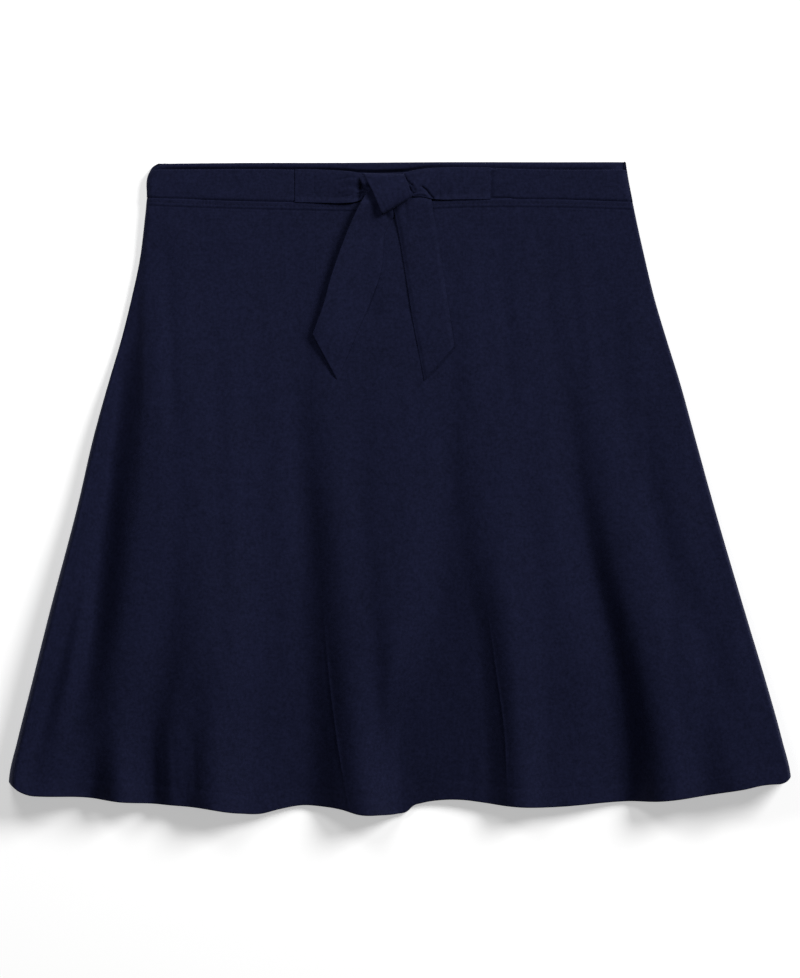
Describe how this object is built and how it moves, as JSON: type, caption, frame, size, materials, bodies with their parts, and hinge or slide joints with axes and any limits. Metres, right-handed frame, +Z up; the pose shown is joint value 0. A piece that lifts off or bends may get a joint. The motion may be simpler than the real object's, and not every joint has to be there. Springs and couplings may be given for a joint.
{
  "type": "skort",
  "caption": "Flared gored skort laid flat, with a smooth waistband, a sash tied at the front and plain shorts inside.",
  "frame": {"origin": "on the surface under the middle of the laid garment's bounding box", "axes": "+X to the right of someone looking at the front, +Y from the hem to the waist, +Z up off the surface, out of the front"},
  "size_m": [0.5011, 0.419, 0.0253],
  "materials": {
    "navy_twill": "fine matte navy twill with a slight sheen",
    "navy_shorts": "plain matte navy cloth"
  },
  "bodies": {
    "root": {"skirt_front_left": "navy_twill", "skirt_front_centre": "navy_twill", "skirt_front_right": "navy_twill", "skirt_back": "navy_twill", "waistband_front_left": "navy_twill", "waistband_front_centre": "navy_twill", "waistband_front_right": "navy_twill", "waistband_back": "navy_twill", "sash_left": "navy_twill", "sash_right": "navy_twill", "sash_knot": "navy_twill", "sash_tail_left": "navy_twill", "sash_tail_right": "navy_twill", "shorts_front_left": "navy_shorts", "shorts_front_right": "navy_shorts", "shorts_back_left": "navy_shorts", "shorts_back_right": "navy_shorts"}
  },
  "joints": []
}
